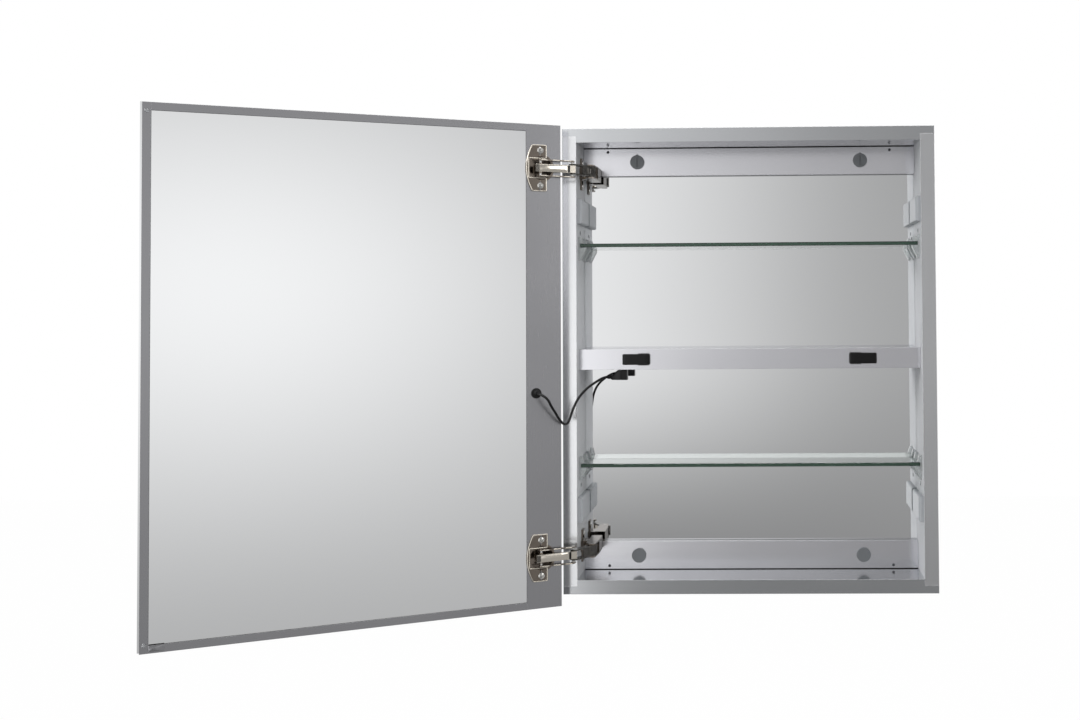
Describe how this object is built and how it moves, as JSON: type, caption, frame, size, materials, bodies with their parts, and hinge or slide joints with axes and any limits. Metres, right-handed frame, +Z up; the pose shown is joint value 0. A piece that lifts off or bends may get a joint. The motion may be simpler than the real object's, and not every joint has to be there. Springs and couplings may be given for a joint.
{
  "type": "medicine cabinet",
  "caption": "Surface-mounted metal medicine cabinet with a mirrored back, glass shelves and a door, mirrored on both faces, on folding concealed hinges.",
  "frame": {"origin": "on the wall, behind the middle of the carcass's back sheet", "axes": "+X to the right as one faces the cabinet, +Y into the wall, +Z up"},
  "size_m": [0.9684, 0.3381, 0.646],
  "materials": {
    "carcass_metal": "satin",
    "rail_metal": "satin",
    "back_metal": "mill",
    "mirror": "silvered",
    "foam": "foamed",
    "plug_plastic": "satin",
    "shelf_glass": "polished, green at the edge",
    "clear_plastic": "translucent",
    "grey_plastic": "satin",
    "white_plastic": "satin",
    "black_plastic": "satin",
    "black_rubber": "matte",
    "hinge_nickel": "nickel plated",
    "hinge_steel": "nickel plated",
    "screw_steel": "zinc plated",
    "door_metal": "satin anodised",
    "fibreboard": "raw"
  },
  "bodies": {
    "cabinet": {"left_side_panel": "carcass_metal", "right_side_panel": "carcass_metal", "top_panel": "carcass_metal", "bottom_panel": "carcass_metal", "corner_brackets": "back_metal", "back_sheet": "back_metal", "rear_mirror": "mirror", "mirror_pad": "foam", "top_hanging_rail": "rail_metal", "bottom_fixing_rail": "rail_metal", "bottom_screw_caps": "plug_plastic", "rail_screws": "screw_steel", "upper_glass_shelf": "shelf_glass", "lower_glass_shelf": "shelf_glass", "upper_shelf_clips": "clear_plastic", "lower_shelf_clips": "clear_plastic", "left_cover_blocks": "grey_plastic", "right_cover_blocks": "grey_plastic", "mid_rail_cover": "rail_metal", "mid_rail_plate": "rail_metal", "lamp_driver": "white_plastic", "cable_socket": "black_plastic", "cable_plug": "black_plastic", "door_cable": "black_rubber", "hinge_arms": "hinge_steel", "hinge_mounting_plates": "hinge_steel", "mounting_plate_screws": "screw_steel", "hinge_arm_pins": "hinge_steel"},
    "left_lock": {"left_hang_lock": "plug_plastic"},
    "right_lock": {"right_hang_lock": "plug_plastic"},
    "left_latch": {"left_slide_latch": "black_plastic"},
    "right_latch": {"right_slide_latch": "black_plastic"},
    "hinge_knuckles": {"hinge_knuckle_channels": "hinge_steel", "hinge_elbow_pins": "hinge_steel"},
    "hinge_levers": {"hinge_inner_levers": "hinge_nickel", "hinge_outer_links": "hinge_nickel"},
    "door": {"door_hinge_stile": "door_metal", "door_free_stile": "door_metal", "door_top_rail": "door_metal", "door_bottom_rail": "door_metal", "door_corner_keys": "back_metal", "front_mirror": "mirror", "inner_mirror": "mirror", "backing_board": "fibreboard", "heater_pad": "foam", "hinge_cups": "hinge_nickel", "hinge_cup_pins": "hinge_steel", "hinge_cup_screws": "screw_steel", "door_bumpers": "clear_plastic", "cable_grommet": "black_rubber"}
  },
  "joints": [
    {"name": "door_swing", "type": "hinge", "parent": "cabinet", "child": "door", "pos_m": [-0.25495, -0.1006, 0], "axis": [0, 0, 1], "range_deg": [0, 153.8], "deforming": ["door_cable"]},
    {"name": "knuckle_turn", "type": "hinge", "parent": "cabinet", "child": "hinge_knuckles", "pos_m": [-0.216, -0.079, 0], "axis": [0, 0, 1], "range_deg": [-1, 154.8]},
    {"name": "lever_turn", "type": "hinge", "parent": "hinge_knuckles", "child": "hinge_levers", "pos_m": [-0.23662, -0.1072, 0], "axis": [0, 0, 1], "range_deg": [-154.8, 1]},
    {"name": "left_lock_turn", "type": "hinge", "parent": "cabinet", "child": "left_lock", "pos_m": [-0.158, -0.0172, 0.2777], "axis": [0, 1, 0], "range_deg": [0, 90]},
    {"name": "right_lock_turn", "type": "hinge", "parent": "cabinet", "child": "right_lock", "pos_m": [0.158, -0.0172, 0.2777], "axis": [0, 1, 0], "range_deg": [0, 90]},
    {"name": "left_latch_slide", "type": "slide", "parent": "cabinet", "child": "left_latch", "axis": [1, 0, 0], "range_m": [0, 0.006]},
    {"name": "right_latch_slide", "type": "slide", "parent": "cabinet", "child": "right_latch", "axis": [-1, 0, 0], "range_m": [0, 0.006]}
  ],
  "couplings": [
    {"joint": "knuckle_turn", "follows": "door_swing", "ratio": 1},
    {"joint": "lever_turn", "follows": "door_swing", "ratio": -1}
  ]
}
